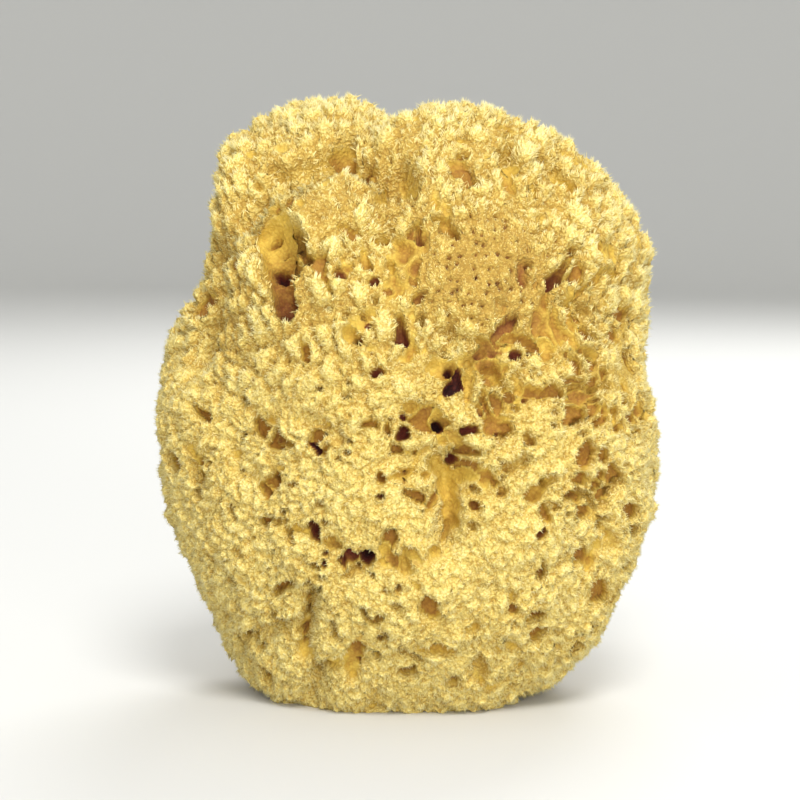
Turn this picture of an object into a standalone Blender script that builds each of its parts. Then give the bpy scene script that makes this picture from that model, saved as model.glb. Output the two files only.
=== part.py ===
"""A dried honeycomb sea sponge, cut off flat where it grew and standing on that cut.

One solid, because a sponge grows as one piece. It is worked out in millimetres and built in metres, +Z up.
The front, which holds the great canal mouth, faces -Y. The origin is on the cut foot, under the middle of
the sponge. The plain form is a closed outline seen from the front, filled out to a front and a back depth.
Lobes swell it, creases and canals sink into it, and a coarse bumpiness roughens what is left.
"""

import math

import bmesh
import bpy
import numpy as np

MM = 0.001

# Driving sizes, in mm
HEIGHT = 160.0
FRONT_DEPTH = 50.0
BACK_DEPTH = 44.0

# Height of the middle of the form above the cut foot
MIDDLE_HEIGHT = 77.0

# How far, in radians, the outline turns about Y from front to back, so that its notch runs on a slant
TWIST = 0.3

# How full the form is between its outline and its front: 2 is an ellipse, more is squarer
FULLNESS = 2.4

# The outline is sampled at this many degrees. It is evened over the first blur, in degrees, at the rim and
# over the second one at the front and back, where RIM_POWER says how fast the first gives way.
ANGLE_STEP = 0.5
BLUR_REACH = 45.0
RIM_BLUR = 2.0
FACE_BLUR = 14.0
RIM_POWER = 4

# Where the photograph was taken from, in mm and pixels. Its pixels place the outline and the canals on
# the front. PIXEL is the width of one pixel at the form's middle, from the top of the sponge down to it.
PHOTO_MIDDLE = (409.0, 403.0)
PHOTO_TOP = 91.0
PIXEL = (HEIGHT - MIDDLE_HEIGHT) / (PHOTO_MIDDLE[1] - PHOTO_TOP)
EYE_DISTANCE = 640.0
EYE_RISE = math.radians(6.0)

# The outline in pixels of the photograph, anticlockwise from the notch between the two lobes. The lowest
# points lie under the foot, which is cut off flat afterwards.
OUTLINE = (
    (404, 120), (390, 106), (352, 94), (318, 95), (268, 104), (241, 121), (234, 147), (236, 181),
    (233, 212), (209, 256), (183, 303), (159, 338), (150, 380), (151, 445), (162, 505), (188, 560),
    (208, 616), (228, 676), (284, 714), (345, 732), (450, 732), (507, 709), (586, 661), (591, 636),
    (621, 594), (650, 536), (660, 480), (664, 438), (656, 383), (650, 335), (652, 270), (656, 230),
    (626, 182), (597, 150), (545, 122), (486, 104), (440, 96), (418, 109),
)

# Swellings: middle in pixels, half width and height in mm
FRONT_LOBES = (
    (292, 262, 24.0, 7.0),
    (345, 190, 12.0, 3.5),
    (500, 290, 32.0, 5.0),
    (380, 590, 36.0, 4.5),
    (560, 520, 26.0, 2.0),
)

# Swellings and dents out of the photograph's sight: azimuth from the front towards +X and elevation in
# degrees, half width and height in mm
OTHER_LOBES = (
    (148, 22, 26.0, 5.0),
    (214, -8, 28.0, 4.5),
    (200, 48, 20.0, 4.0),
    (186, 8, 13.0, -5.0),
    (172, 72, 12.0, -3.0),
    (150, -38, 22.0, 3.0),
    (92, -20, 20.0, 2.5),
)

# Creases and fissures: a line in pixels, half width and depth in mm
FRONT_CREASES = (
    (
        ((188, 345), (203, 300), (212, 258), (230, 222), (256, 188), (300, 172), (345, 150), (385, 165)),
        6.0,
        9.0,
    ),
    (((398, 150), (392, 200), (385, 235)), 5.0, 5.0),
    (((450, 462), (452, 490), (447, 520), (447, 546)), 4.0, 7.0),
    (((309, 598), (304, 632), (303, 655)), 2.2, 4.0),
    (((250, 640), (276, 630), (302, 632)), 2.2, 3.5),
    (((318, 672), (309, 702)), 2.2, 4.0),
)

# Canal mouths and hollows: a line in pixels, half width and depth in mm
FRONT_CANALS = (
    (((279, 244), (281, 270), (287, 312)), 5.6, 13.0),
    (((297, 226), (303, 246)), 2.2, 9.0),
    (((345, 132), (341, 156)), 2.8, 8.0),
    (((512, 152), (509, 170)), 3.6, 7.0),
    (((548, 164), (568, 186)), 4.2, 7.0),
    (((436, 210), (458, 226)), 2.2, 7.0),
    (((418, 219), (421, 236)), 2.0, 8.0),
    (((577, 260), (566, 278), (556, 283)), 2.4, 8.0),
    (((598, 280), (607, 269), (622, 266)), 2.4, 6.0),
    (((403, 316), (404, 338)), 2.4, 9.0),
    (((482, 336), (503, 349)), 2.4, 7.0),
    (((492, 347), (475, 361)), 2.2, 8.0),
    (((509, 337), (524, 342), (550, 350)), 2.8, 8.0),
    (((586, 350), (604, 351)), 2.2, 5.0),
    (((372, 368), (384, 376)), 2.2, 9.0),
    (((438, 362), (449, 372)), 3.0, 6.0),
    (((459, 376), (462, 382), (453, 392)), 2.6, 11.0),
    (((471, 364), (474, 380), (472, 396)), 2.2, 5.0),
    (((496, 370), (501, 385)), 2.4, 5.0),
    (((522, 373), (520, 390), (512, 397)), 2.4, 5.5),
    (((412, 408), (403, 436)), 2.8, 10.0),
    (((436, 416), (441, 428)), 2.8, 11.0),
    (((472, 434), (455, 440)), 2.4, 8.0),
    (((452, 463), (453, 464)), 2.6, 9.0),
    (((283, 443), (306, 448)), 2.4, 7.0),
    (((536, 495), (552, 481)), 2.6, 6.0),
    (((250, 487), (263, 499)), 2.2, 6.0),
    (((308, 528), (307, 541), (318, 538)), 2.2, 9.0),
    (((334, 550), (345, 565)), 2.4, 8.0),
    (((367, 562), (368, 563)), 3.0, 13.0),
    (((389, 556), (394, 566), (405, 578)), 2.8, 7.0),
    (((364, 618), (372, 628), (384, 642)), 2.0, 6.0),
    (((481, 668), (488, 672)), 2.6, 5.0),
)

# Canals of the sides, the back and the top, which the photograph doesn't show
HIDDEN_CANALS = 60
HIDDEN_SEED = 11
HIDDEN_HALF_WIDTH = (1.8, 4.2)
HIDDEN_DEPTH = (4.0, 10.0)
HIDDEN_SPACING = 10.0
HIDDEN_FROM_Y = 3.0
HIDDEN_FROM_Z = 12.0

# Bumpiness: size of a bump and how far it moves the surface in mm, and the seed of its pattern
BUMPS = ((34.0, 2.6, 3), (15.0, 1.3, 4), (8.0, 0.7, 5))
LATTICE = 24

# The canals run inwards to this smaller core, given as shares of the width and the height
CORE_WIDTH = 0.35
CORE_HEIGHT = 0.45

# A canal's floor reaches this share of its half width, and its wall takes up this much more
WELL_FLOOR = 0.45
WELL_WALL = 0.8

SPHERE_SUBDIVISIONS = 7
TRIANGLES = 9400
FOOT_CUTTER_WIDTH = 240.0
FOOT_CUTTER_DEPTH = 60.0
SPONGE_COLOUR = (0.79, 0.60, 0.26, 1.0)


def clear_scene():
    for thing in list(bpy.data.objects):
        bpy.data.objects.remove(thing, do_unlink=True)


def rough(points, size, seed):
    """Smooth random values from -1 to 1: seeded numbers on a lattice of `size` mm, blended by smoothstep."""
    lattice = np.random.default_rng(seed).uniform(-1, 1, (LATTICE,) * 3)
    cell = points / size
    low = np.floor(cell).astype(int)
    part = cell - low
    part = part * part * (3 - 2 * part)
    total = np.zeros(len(points))
    for corner in np.ndindex(2, 2, 2):
        index = (low + np.array(corner)) % LATTICE
        weight = np.prod(np.where(np.array(corner) == 1, part, 1 - part), axis=1)
        total += weight * lattice[index[:, 0], index[:, 1], index[:, 2]]
    return total


def outline_radius(angle, blur):
    """Distance from the middle to the outline at each angle: OUTLINE in polar form, evened over `blur`
    degrees."""
    x = (np.array([p[0] for p in OUTLINE]) - PHOTO_MIDDLE[0]) * PIXEL
    z = (PHOTO_MIDDLE[1] - np.array([p[1] for p in OUTLINE])) * PIXEL
    samples = np.radians(np.arange(0, 360, ANGLE_STEP))
    radius = np.interp(samples, np.arctan2(z, x), np.hypot(x, z), period=2 * math.pi)
    steps = round(BLUR_REACH / ANGLE_STEP)
    reach = np.arange(-steps, steps + 1) * ANGLE_STEP
    kernel = np.exp(-0.5 * (reach / blur) ** 2)
    padded = np.concatenate([radius[-steps:], radius, radius[:steps]])
    even = np.convolve(padded, kernel / kernel.sum(), mode="valid")
    return np.interp(angle, samples, even, period=2 * math.pi)


def plain_form(directions):
    """The form before lobes and canals: for a direction, the outline's radius times a superellipse across
    it, and the front or back depth times the same superellipse along Y."""
    across = np.hypot(directions[:, 0], directions[:, 2])
    along = np.abs(directions[:, 1])
    angle = np.arctan2(directions[:, 2], directions[:, 0]) + TWIST * directions[:, 1]
    fill = (across**FULLNESS + along**FULLNESS) ** (-1 / FULLNESS)
    rim = (fill * across) ** RIM_POWER
    radius = rim * outline_radius(angle, RIM_BLUR) + (1 - rim) * outline_radius(angle, FACE_BLUR)
    depth = np.where(directions[:, 1] < 0, FRONT_DEPTH, BACK_DEPTH)
    return np.stack(
        [
            radius * fill * directions[:, 0],
            depth * fill * directions[:, 1],
            MIDDLE_HEIGHT + radius * fill * directions[:, 2],
        ],
        axis=1,
    )


def direction_of(azimuth, elevation):
    """The unit direction at an azimuth from the front towards +X and an elevation, in degrees."""
    turn, climb = math.radians(azimuth), math.radians(elevation)
    level = math.cos(climb)
    return np.array([[math.sin(turn) * level, -math.cos(turn) * level, math.sin(climb)]])


def inward(points):
    """Unit directions from each point of the form towards the core."""
    core = points * (CORE_WIDTH, 0, CORE_HEIGHT) + (0, 0, MIDDLE_HEIGHT * (1 - CORE_HEIGHT))
    way = core - points
    return way / np.linalg.norm(way, axis=1, keepdims=True)


def pixels_of(points):
    """Where the photograph shows each point, in pixels."""
    seen = points - (0, 0, MIDDLE_HEIGHT)
    away = EYE_DISTANCE + seen[:, 1] * math.cos(EYE_RISE) - seen[:, 2] * math.sin(EYE_RISE)
    up = seen[:, 1] * math.sin(EYE_RISE) + seen[:, 2] * math.cos(EYE_RISE)
    scale = EYE_DISTANCE / away / PIXEL
    return np.stack([PHOTO_MIDDLE[0] + seen[:, 0] * scale, PHOTO_MIDDLE[1] - up * scale], axis=1)


def on_front(points, surface, line):
    """The points of the plain form whose places on a surface lie on the front under the pixels of a line."""
    front = points[:, 1] < 0
    shown = pixels_of(surface[front])
    return [points[front][np.argmin(np.hypot(*(shown - pixel).T))] for pixel in np.array(line, float)]


def distance_to_line(points, line):
    """Distance in mm from each point to a polyline in space."""
    nearest = np.full(len(points), np.inf)
    for start, end in zip(line, line[1:]):
        run = end - start
        share = np.clip((points - start) @ run / max(run @ run, 1e-9), 0, 1)
        nearest = np.minimum(nearest, np.linalg.norm(points - start - share[:, None] * run, axis=1))
    return nearest


def well(distance, half_width):
    """1 on a canal's floor, falling smoothly to 0 at one and a quarter half widths."""
    share = np.clip((distance / half_width - WELL_FLOOR) / WELL_WALL, 0, 1)
    return 1 - share * share * (3 - 2 * share)


def hidden_canals(points):
    """Round canals, spaced apart, on the sides, top and back: (middle, half width, depth)."""
    chance = np.random.default_rng(HIDDEN_SEED)
    chosen = []
    for index in chance.permutation(len(points)):
        middle = points[index]
        if middle[1] < HIDDEN_FROM_Y or middle[2] < HIDDEN_FROM_Z:
            continue
        if all(np.linalg.norm(middle - other[0]) > HIDDEN_SPACING for other in chosen):
            chosen.append((middle, chance.uniform(*HIDDEN_HALF_WIDTH), chance.uniform(*HIDDEN_DEPTH)))
        if len(chosen) == HIDDEN_CANALS:
            break
    return chosen


def sponge_points(directions):
    """The sponge's surface in mm: the plain form, moved outwards by its lobes and bumps and inwards by its
    creases and canals. Where canals meet, the deeper one counts."""
    points = plain_form(directions)
    height = sum(rough(points, size, seed) * rise for size, rise, seed in BUMPS)
    for x, y, half_width, rise in FRONT_LOBES:
        middle = on_front(points, points, [(x, y)])[0]
        height += rise * np.exp(-((np.linalg.norm(points - middle, axis=1) / half_width) ** 2))
    for azimuth, elevation, half_width, rise in OTHER_LOBES:
        middle = plain_form(direction_of(azimuth, elevation))
        height += rise * np.exp(-((np.linalg.norm(points - middle, axis=1) / half_width) ** 2))
    for line, half_width, sink in FRONT_CREASES:
        away = distance_to_line(points, on_front(points, points, line))
        height -= sink * np.exp(-((away / half_width) ** 2))
    lobed = points - inward(points) * height[:, None]
    depth = np.zeros(len(points))
    for line, half_width, sink in FRONT_CANALS:
        away = distance_to_line(points, on_front(points, lobed, line))
        depth = np.maximum(depth, sink * well(away, half_width))
    for middle, half_width, sink in hidden_canals(points):
        depth = np.maximum(depth, sink * well(np.linalg.norm(points - middle, axis=1), half_width))
    return lobed + inward(points) * depth[:, None]


def foot_middle(points):
    """The point on the foot under the middle of what stands above it."""
    kept = points[points[:, 2] > 0]
    middle = (kept.min(axis=0) + kept.max(axis=0)) / 2
    return middle * (1, 1, 0)


def add_sponge():
    """The sponge as one closed mesh: a fine icosphere pulled out to the sponge's surface, then thinned."""
    mesh = bpy.data.meshes.new("sponge")
    shape = bmesh.new()
    bmesh.ops.create_icosphere(shape, subdivisions=SPHERE_SUBDIVISIONS, radius=1.0)
    shape.to_mesh(mesh)
    shape.free()
    places = np.empty(len(mesh.vertices) * 3, np.float32)
    mesh.vertices.foreach_get("co", places)
    directions = places.reshape(-1, 3).astype(float)
    directions /= np.linalg.norm(directions, axis=1, keepdims=True)
    surface = sponge_points(directions)
    surface -= foot_middle(surface)
    surface *= MM
    mesh.vertices.foreach_set("co", surface.astype(np.float32).ravel())
    mesh.update()
    sponge = bpy.data.objects.new("sponge", mesh)
    bpy.context.collection.objects.link(sponge)
    thin = sponge.modifiers.new("thin", "DECIMATE")
    thin.ratio = TRIANGLES / len(mesh.polygons)
    return sponge


def cut_foot(sponge):
    """Cuts the sponge off flat at Z = 0, as where it was taken from its rock."""
    bpy.ops.mesh.primitive_cube_add(size=1.0, location=(0, 0, -FOOT_CUTTER_DEPTH * MM / 2))
    cutter = bpy.context.object
    cutter.name = "foot_cutter"
    cutter.scale = (FOOT_CUTTER_WIDTH * MM, FOOT_CUTTER_WIDTH * MM, FOOT_CUTTER_DEPTH * MM)
    bpy.ops.object.transform_apply(location=False, rotation=False, scale=True)
    cutter.hide_render = True
    cutter.display_type = "WIRE"
    cut = sponge.modifiers.new("cut", "BOOLEAN")
    cut.operation = "DIFFERENCE"
    cut.object = cutter


def sponge_material():
    material = bpy.data.materials.new("dried_sponge")
    material.use_nodes = True
    shader = material.node_tree.nodes["Principled BSDF"]
    shader.inputs["Base Color"].default_value = SPONGE_COLOUR
    shader.inputs["Roughness"].default_value = 0.95
    shader.inputs["Metallic"].default_value = 0.0
    return material


clear_scene()
sponge_object = add_sponge()
cut_foot(sponge_object)
sponge_object.data.materials.append(sponge_material())
sponge_object.data.shade_smooth()
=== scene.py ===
"""The looks of a dried honeycomb sea sponge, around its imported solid.

The skin is one closed surface that follows the solid's form a little below it, with every basin, hole and
slot sunk into it. A pile of short pointed fibres stands on the skin and reaches the solid's surface. Sizes
are in millimetres until the meshes are made. Places on the front are given in the photograph's pixels.
"""

import math

import bmesh
import bpy
import numpy as np
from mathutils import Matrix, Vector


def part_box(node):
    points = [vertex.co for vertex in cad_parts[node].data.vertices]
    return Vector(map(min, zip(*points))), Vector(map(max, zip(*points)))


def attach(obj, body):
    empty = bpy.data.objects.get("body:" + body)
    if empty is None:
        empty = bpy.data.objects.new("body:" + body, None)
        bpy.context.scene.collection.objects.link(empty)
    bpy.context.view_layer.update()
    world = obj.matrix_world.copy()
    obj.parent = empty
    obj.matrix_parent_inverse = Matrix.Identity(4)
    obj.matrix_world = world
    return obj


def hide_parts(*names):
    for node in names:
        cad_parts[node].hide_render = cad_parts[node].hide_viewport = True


MM = 0.001

# The form, as in the part: sizes in mm, blurs in degrees
HEIGHT = 160.0
FRONT_DEPTH = 50.0
BACK_DEPTH = 44.0
MIDDLE_HEIGHT = 77.0
TWIST = 0.3
FULLNESS = 2.4
ANGLE_STEP = 0.5
BLUR_REACH = 45.0
RIM_BLUR = 2.0
FACE_BLUR = 14.0
RIM_POWER = 4

# Where the photograph was taken from
PHOTO_MIDDLE = (409.0, 403.0)
PHOTO_TOP = 91.0
PHOTO_SIDE = 800
PIXEL = (HEIGHT - MIDDLE_HEIGHT) / (PHOTO_MIDDLE[1] - PHOTO_TOP)
EYE_DISTANCE = 640.0
EYE_RISE = math.radians(6.0)
SENSOR = 36.0

OUTLINE = (
    (404, 120), (390, 106), (352, 94), (318, 95), (268, 104), (241, 121), (234, 147), (236, 181),
    (233, 212), (209, 256), (183, 303), (159, 338), (150, 380), (151, 445), (162, 505), (188, 560),
    (208, 616), (228, 676), (284, 714), (345, 732), (450, 732), (507, 709), (586, 661), (591, 636),
    (621, 594), (650, 536), (660, 480), (664, 438), (656, 383), (650, 335), (652, 270), (656, 230),
    (626, 182), (597, 150), (545, 122), (486, 104), (440, 96), (418, 109),
)

# Swellings: middle in pixels, half width and height in mm
FRONT_LOBES = (
    (292, 262, 24.0, 7.0),
    (345, 190, 12.0, 3.5),
    (500, 290, 32.0, 5.0),
    (380, 590, 36.0, 4.5),
    (560, 520, 26.0, 2.0),
)

# Swellings and dents out of sight: azimuth and elevation in degrees, half width and height in mm
OTHER_LOBES = (
    (148, 22, 26.0, 5.0),
    (214, -8, 28.0, 4.5),
    (200, 48, 20.0, 4.0),
    (186, 8, 13.0, -5.0),
    (172, 72, 12.0, -3.0),
    (150, -38, 22.0, 3.0),
    (92, -20, 20.0, 2.5),
)

# Creases and fissures: a line in pixels, half width and depth in mm
FRONT_CREASES = (
    (
        ((188, 345), (203, 300), (212, 258), (230, 222), (256, 188), (300, 172), (345, 150), (385, 165)),
        6.0,
        9.0,
    ),
    (((398, 150), (392, 200), (385, 235)), 5.0, 5.0),
    (((450, 462), (452, 490), (447, 520), (447, 546)), 4.0, 7.0),
    (((309, 598), (304, 632), (303, 655)), 2.2, 4.0),
    (((250, 640), (276, 630), (302, 632)), 2.2, 3.5),
    (((318, 672), (309, 702)), 2.2, 4.0),
)

BUMPS = ((34.0, 2.6, 3), (15.0, 1.3, 4), (8.0, 0.7, 5))
LATTICE = 24
CORE_WIDTH = 0.35
CORE_HEIGHT = 0.45

# The seeded canals of the sides, back and top: how many there are, their seed, their spacing, and their least
# and most half width and depth, in mm. The larger lie where the solid has them, the smaller between those.
LARGER = (60, 11, 10.0, (1.8, 4.2), (4.0, 10.0))
SMALLER = (150, 23, 6.5, (0.9, 2.2), (2.5, 6.0))
SEEDED_FROM_Y = 3.0
SEEDED_FROM_Z = 12.0
SPHERE_SUBDIVISIONS = 7

# How dark the shallowest larger and smaller ones are, and how much darker the deepest, as painted shade
LARGER_DARK = 0.25
SMALLER_DARK = 0.22
SEEDED_DARKER = 0.6

# Wide smooth basins: a line in pixels, half widths in mm at its two ends, depth in mm, and how dark the
# floor is at its two ends, as painted shade, from 0, pale, through 0.3, amber, and 0.6, brown, to 1, black
BASINS = (
    (((274, 232), (279, 268), (286, 312)), (6.0, 3.0), 12.0, (0.32, 0.74)),
    (((294, 222), (299, 248)), (1.9, 2.1), 11.0, (0.44, 0.62)),
    (((289, 238), (287, 266)), (1.8, 1.5), 13.0, (0.44, 0.58)),
    (((345, 130), (341, 156)), (1.7, 3.0), 7.0, (0.24, 0.56)),
    (((512, 150), (509, 170)), (3.3, 2.2), 6.0, (0.24, 0.42)),
    (((548, 164), (568, 186)), (3.9, 3.0), 6.0, (0.24, 0.42)),
    (((538, 176), (537, 192)), (1.2, 0.9), 4.0, (0.32, 0.44)),
    (((268, 174), (296, 166), (326, 160)), (1.9, 2.2), 3.0, (0.26, 0.30)),
    (((360, 174), (362, 190)), (2.6, 2.2), 2.2, (0.14, 0.24)),
    (((385, 176), (381, 198)), (1.1, 1.5), 4.0, (0.30, 0.38)),
    (((404, 164), (414, 188)), (1.9, 1.5), 4.0, (0.26, 0.36)),
    (((362, 244), (361, 260)), (1.2, 1.0), 4.0, (0.34, 0.46)),
    (((418, 217), (421, 236)), (1.1, 1.5), 6.0, (0.46, 0.76)),
    (((436, 210), (448, 218), (458, 226)), (1.2, 1.6), 5.0, (0.38, 0.52)),
    (((402, 316), (404, 338)), (1.3, 1.9), 7.0, (0.56, 0.84)),
    (((350, 332), (358, 338)), (2.0, 1.5), 4.0, (0.36, 0.46)),
    (((447, 334), (452, 348)), (2.3, 2.4), 1.7, (0.14, 0.20)),
    (((438, 362), (449, 372)), (2.6, 2.4), 4.0, (0.30, 0.44)),
    (((459, 376), (462, 382), (453, 392)), (1.9, 1.8), 7.0, (0.92, 0.98)),
    (((482, 336), (494, 344), (503, 349)), (1.7, 1.2), 4.5, (0.42, 0.64)),
    (((492, 347), (483, 357), (475, 361)), (1.8, 1.0), 5.0, (0.52, 0.70)),
    (((509, 337), (524, 340), (537, 346)), (1.5, 1.9), 5.0, (0.44, 0.56)),
    (((546, 344), (550, 356)), (2.3, 1.9), 4.0, (0.32, 0.42)),
    (((576, 351), (573, 362), (568, 368)), (1.0, 0.8), 4.0, (0.56, 0.40)),
    (((586, 350), (604, 351)), (1.5, 1.3), 4.0, (0.46, 0.32)),
    (((471, 364), (474, 380), (472, 396)), (1.6, 1.5), 3.5, (0.28, 0.38)),
    (((496, 370), (501, 385)), (1.9, 1.8), 3.0, (0.26, 0.32)),
    (((491, 390), (488, 400)), (1.3, 0.9), 3.5, (0.40, 0.52)),
    (((522, 373), (520, 390)), (1.8, 1.9), 3.5, (0.26, 0.36)),
    (((484, 404), (483, 418)), (1.3, 0.8), 4.0, (0.44, 0.70)),
    (((530, 402), (540, 400)), (1.1, 0.8), 4.0, (0.64, 0.54)),
    (((529, 366), (539, 370)), (1.3, 1.3), 2.4, (0.28, 0.30)),
    (((568, 298), (578, 301), (590, 306)), (1.4, 1.7), 2.8, (0.28, 0.34)),
    (((556, 283), (566, 278), (577, 258)), (2.0, 1.4), 5.5, (0.80, 0.42)),
    (((598, 280), (607, 269), (622, 266)), (1.3, 1.6), 4.0, (0.40, 0.34)),
    (((614, 268), (613, 280)), (1.5, 1.2), 4.0, (0.34, 0.44)),
    (((575, 396), (581, 384), (592, 386), (618, 384)), (1.1, 1.5), 3.2, (0.44, 0.28)),
    (((599, 406), (606, 400), (613, 398)), (1.2, 0.8), 3.5, (0.40, 0.60)),
    (((584, 424), (600, 423)), (0.9, 1.4), 2.6, (0.28, 0.34)),
    (((436, 416), (443, 424)), (2.5, 2.3), 4.0, (0.38, 0.50)),
    (((467, 434), (474, 434)), (1.4, 1.3), 5.0, (0.80, 0.84)),
    (((453, 438), (462, 444)), (1.6, 1.5), 3.5, (0.44, 0.34)),
    (((502, 441), (514, 441)), (1.4, 1.3), 2.6, (0.32, 0.24)),
    (((530, 436), (534, 445)), (1.4, 1.2), 3.5, (0.36, 0.50)),
    (((515, 470), (524, 461)), (1.9, 1.7), 2.8, (0.36, 0.26)),
    (((436, 466), (446, 476), (460, 478), (474, 478)), (2.2, 2.0), 4.5, (0.30, 0.34)),
    (((446, 480), (450, 510), (447, 548)), (2.8, 0.8), 5.0, (0.32, 0.46)),
    (((536, 495), (544, 486), (552, 481)), (2.4, 1.5), 3.8, (0.46, 0.28)),
    (((593, 504), (601, 509)), (1.5, 1.3), 3.0, (0.40, 0.30)),
    (((618, 494), (629, 486)), (1.2, 1.3), 2.6, (0.38, 0.28)),
    (((578, 494), (588, 498)), (1.5, 1.3), 2.6, (0.32, 0.34)),
    (((304, 420), (322, 427), (332, 442)), (2.0, 2.2), 1.7, (0.20, 0.24)),
    (((299, 441), (305, 447), (311, 453)), (0.8, 1.3), 6.0, (0.92, 0.96)),
    (((278, 440), (287, 446)), (1.5, 1.6), 4.0, (0.62, 0.40)),
    (((249, 486), (254, 494), (263, 499)), (0.8, 1.4), 4.0, (0.46, 0.58)),
    (((227, 513), (230, 522)), (0.9, 1.1), 2.6, (0.28, 0.36)),
    (((308, 528), (307, 541)), (1.6, 1.4), 6.0, (0.74, 0.86)),
    (((322, 545), (336, 550)), (1.3, 1.8), 3.5, (0.34, 0.52)),
    (((341, 568), (351, 560)), (1.3, 1.8), 6.0, (0.80, 0.86)),
    (((346, 577), (354, 572)), (1.6, 1.5), 2.8, (0.32, 0.36)),
    (((388, 556), (393, 566)), (2.2, 1.9), 4.0, (0.36, 0.56)),
    (((406, 560), (405, 580)), (1.3, 1.2), 3.5, (0.30, 0.38)),
    (((264, 522), (280, 532), (287, 546)), (1.1, 1.4), 3.0, (0.24, 0.40)),
    (((320, 594), (308, 599), (304, 632), (303, 655)), (0.75, 0.6), 4.4, (0.46, 0.60)),
    (((250, 638), (280, 628), (302, 632)), (0.8, 0.6), 3.4, (0.38, 0.48)),
    (((364, 618), (370, 627), (380, 628)), (1.1, 1.2), 3.4, (0.42, 0.56)),
    (((327, 628), (334, 642), (340, 644)), (1.1, 1.2), 3.0, (0.28, 0.36)),
    (((481, 668), (488, 672)), (2.1, 1.8), 3.0, (0.34, 0.36)),
    (((402, 660), (420, 666)), (1.3, 1.2), 2.4, (0.28, 0.30)),
    (((238, 614), (247, 621)), (1.4, 1.3), 2.0, (0.26, 0.26)),
    (((182, 466), (193, 486)), (1.5, 1.3), 1.8, (0.22, 0.28)),
)

# Round holes: middle in pixels, half width and depth in mm, and how dark the floor is, as painted shade in the
# hole
HOLES = (
    (281, 279, 1.5, 4.0, 0.92), (272, 245, 1.2, 2.4, 0.56), (336, 272, 1.7, 5.0, 0.70),
    (292, 256, 0.6, 1.6, 0.52), (266, 262, 0.6, 1.6, 0.46), (283, 258, 0.5, 1.4, 0.48),
    (373, 277, 1.3, 5.0, 0.80), (389, 289, 1.5, 4.0, 0.56), (366, 323, 0.8, 4.0, 0.86),
    (358, 338, 0.9, 5.0, 0.90), (362, 312, 1.2, 3.0, 0.42), (376, 296, 1.2, 3.0, 0.36),
    (253, 180, 1.6, 3.0, 0.32), (350, 246, 1.4, 2.5, 0.28), (390, 262, 1.6, 2.6, 0.30),
    (414, 276, 1.3, 4.0, 0.54), (325, 306, 1.1, 2.4, 0.34), (344, 312, 1.1, 2.6, 0.38),
    (422, 320, 1.8, 2.4, 0.28), (603, 306, 1.3, 3.5, 0.40), (603, 320, 0.9, 3.0, 0.46),
    (589, 282, 0.9, 3.0, 0.44), (584, 246, 1.5, 2.0, 0.24), (562, 200, 0.8, 2.6, 0.42),
    (518, 353, 1.7, 4.0, 0.84), (530, 352, 1.2, 4.0, 0.80), (545, 375, 0.6, 2.6, 0.80),
    (538, 378, 0.5, 2.4, 0.78), (447, 374, 1.2, 4.0, 0.90), (512, 397, 1.5, 3.6, 0.54),
    (518, 408, 1.1, 2.8, 0.40), (412, 408, 2.0, 3.5, 0.36), (404, 418, 1.2, 4.5, 0.84),
    (403, 436, 2.0, 6.0, 0.86), (437, 428, 1.7, 6.0, 1.00), (501, 433, 0.9, 4.0, 0.80),
    (556, 427, 1.2, 2.6, 0.36), (562, 413, 1.2, 2.4, 0.30), (590, 436, 1.2, 2.4, 0.34),
    (623, 401, 0.9, 2.4, 0.34), (452, 463, 2.0, 6.0, 0.84), (425, 478, 1.3, 3.5, 0.38),
    (379, 480, 1.6, 4.5, 0.54), (381, 499, 0.8, 4.0, 0.84), (404, 485, 0.6, 3.0, 0.90),
    (407, 475, 0.6, 3.0, 0.86), (476, 510, 1.6, 4.5, 0.62), (508, 466, 1.0, 3.0, 0.60),
    (505, 497, 1.4, 3.0, 0.42), (506, 482, 1.0, 2.4, 0.38), (477, 492, 1.1, 3.0, 0.46),
    (560, 508, 1.3, 3.0, 0.36), (473, 532, 1.4, 3.0, 0.36), (546, 484, 0.9, 2.4, 0.40),
    (545, 538, 1.3, 4.5, 0.74), (610, 512, 1.6, 2.6, 0.28), (605, 532, 1.4, 2.4, 0.30),
    (318, 538, 1.2, 5.0, 0.86), (323, 560, 0.8, 4.0, 0.92), (319, 572, 0.8, 4.0, 0.92),
    (367, 562, 2.1, 9.0, 1.00), (357, 570, 0.7, 3.0, 0.88), (370, 579, 0.8, 2.4, 0.50),
    (397, 596, 0.9, 3.0, 0.92), (383, 598, 0.6, 3.0, 0.86), (317, 508, 1.1, 2.6, 0.36),
    (238, 402, 1.0, 2.4, 0.34), (317, 389, 0.9, 3.0, 0.46), (345, 384, 0.8, 3.0, 0.46),
    (345, 397, 1.2, 2.6, 0.34), (377, 371, 1.8, 5.5, 0.80), (345, 444, 0.8, 2.6, 0.50),
    (344, 456, 0.8, 2.6, 0.48), (335, 462, 0.7, 2.4, 0.46), (357, 417, 0.7, 2.4, 0.46),
    (388, 421, 0.6, 2.4, 0.70), (280, 516, 0.9, 2.6, 0.44), (272, 484, 1.1, 2.0, 0.28),
    (286, 486, 1.0, 2.2, 0.34), (238, 438, 0.9, 2.2, 0.36), (246, 438, 0.8, 2.2, 0.34),
    (236, 472, 0.8, 2.2, 0.40), (378, 643, 1.1, 4.0, 0.80), (386, 642, 0.8, 3.0, 0.76),
    (315, 674, 1.3, 3.0, 0.40), (397, 610, 1.4, 2.6, 0.34), (516, 617, 1.5, 4.0, 0.60),
    (549, 637, 0.8, 2.6, 0.46), (507, 650, 0.8, 2.6, 0.46), (357, 672, 0.6, 2.6, 0.88),
    (200, 466, 1.1, 1.8, 0.26), (367, 270, 0.8, 3.0, 0.50), (205, 454, 1.0, 1.8, 0.28),
)

# The skin: cells along each side of the cube that the grid starts from, how much finer the front is, and how
# far it lies below the form
CELLS = 180
FRONT_BIAS = 0.22
SKIN_BELOW = 1.9

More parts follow.
